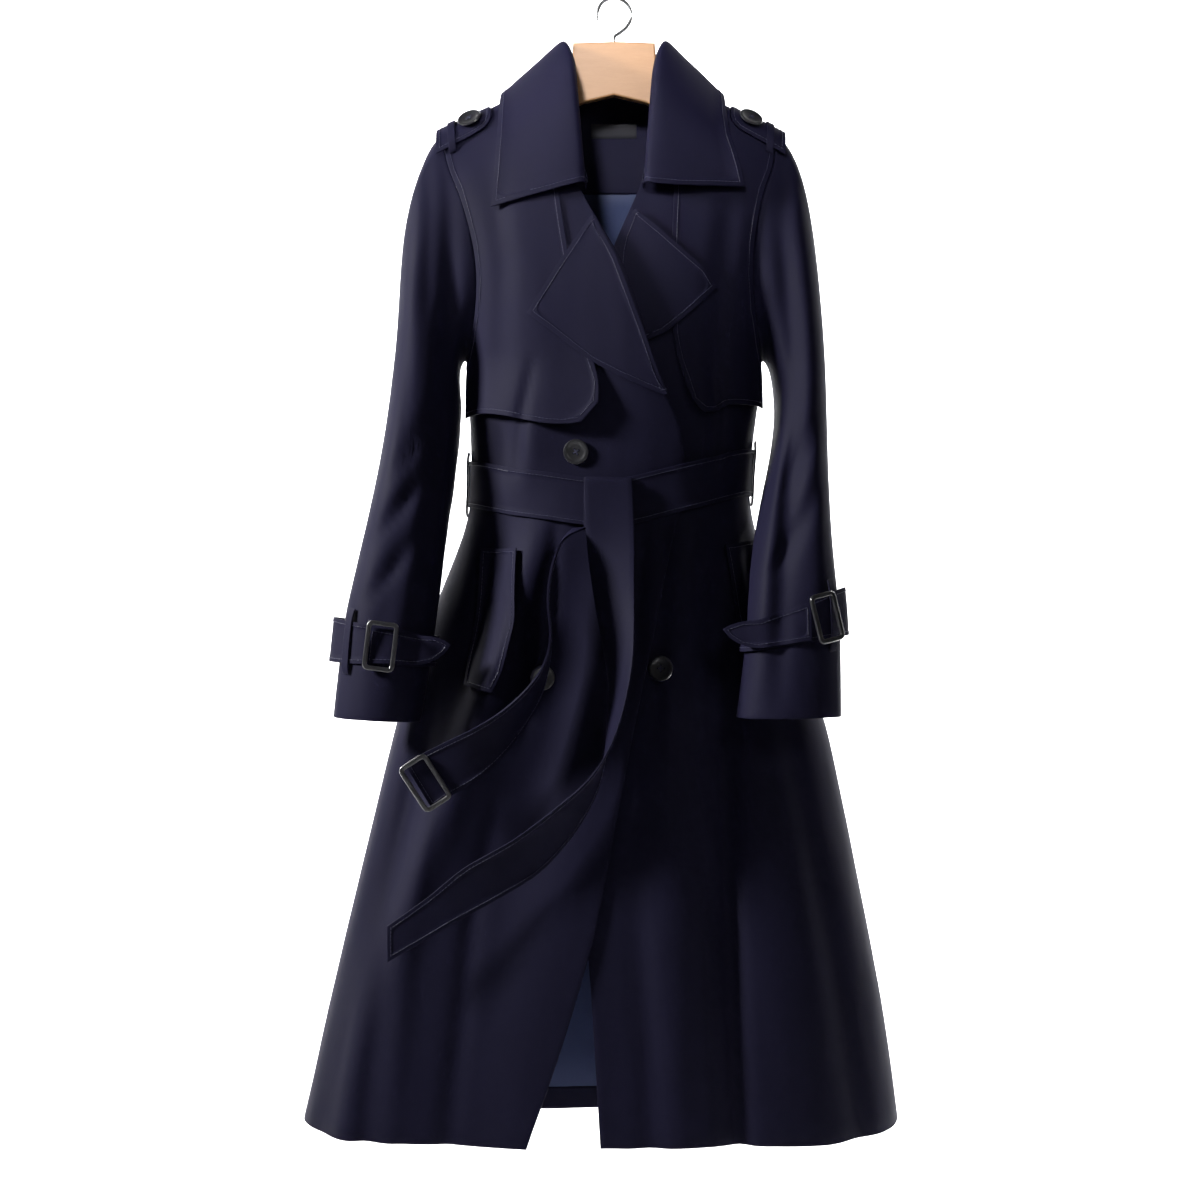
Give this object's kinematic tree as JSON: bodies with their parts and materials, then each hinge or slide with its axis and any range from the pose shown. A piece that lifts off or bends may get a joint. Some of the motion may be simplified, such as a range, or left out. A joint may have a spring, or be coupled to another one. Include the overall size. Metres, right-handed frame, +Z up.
{
  "type": "trench coat on a hanger",
  "caption": "Navy belted double-breasted trench coat with storm flaps, shoulder straps and buckled cuffs, on a wooden hanger.",
  "frame": {"origin": "the inside top of the hanger's hook, where it hangs on a rail", "axes": "+Z up, the coat's front faces -Y, +X towards the wearer's left sleeve"},
  "size_m": [0.662, 0.2225, 1.2371],
  "materials": {
    "cloth": "soft satin",
    "satin": "satin",
    "horn": "gloss",
    "wood": "satin",
    "steel": "polished"
  },
  "bodies": {
    "root": {"front_right": "cloth", "front_left": "cloth", "back": "cloth", "sleeve_right": "cloth", "sleeve_left": "cloth", "storm_flap_right": "cloth", "storm_flap_left": "cloth", "lapel_right": "cloth", "lapel_left": "cloth", "collar": "cloth", "epaulette_right": "cloth", "epaulette_loop_right": "cloth", "epaulette_left": "cloth", "epaulette_loop_left": "cloth", "belt_waist": "cloth", "belt_loop_right": "cloth", "belt_loop_left": "cloth", "belt_knot": "cloth", "belt_tail_plain": "cloth", "belt_tail_buckle": "cloth", "cuff_strap_right": "cloth", "cuff_strap_end_right": "cloth", "cuff_loop_right": "cloth", "cuff_strap_left": "cloth", "cuff_strap_end_left": "cloth", "cuff_loop_left": "cloth", "pocket_welt_right": "cloth", "pocket_welt_left": "cloth", "neck_facing": "cloth", "label": "cloth", "hem_facing": "cloth", "button_epaulette_right": "horn", "button_epaulette_left": "horn", "button_waist": "horn", "button_skirt_right": "horn", "button_skirt_left": "horn", "belt_buckle": "horn", "cuff_buckle_right": "horn", "cuff_buckle_left": "horn", "lining": "satin", "hanger": "wood", "hanger_hook": "steel"}
  },
  "joints": []
}
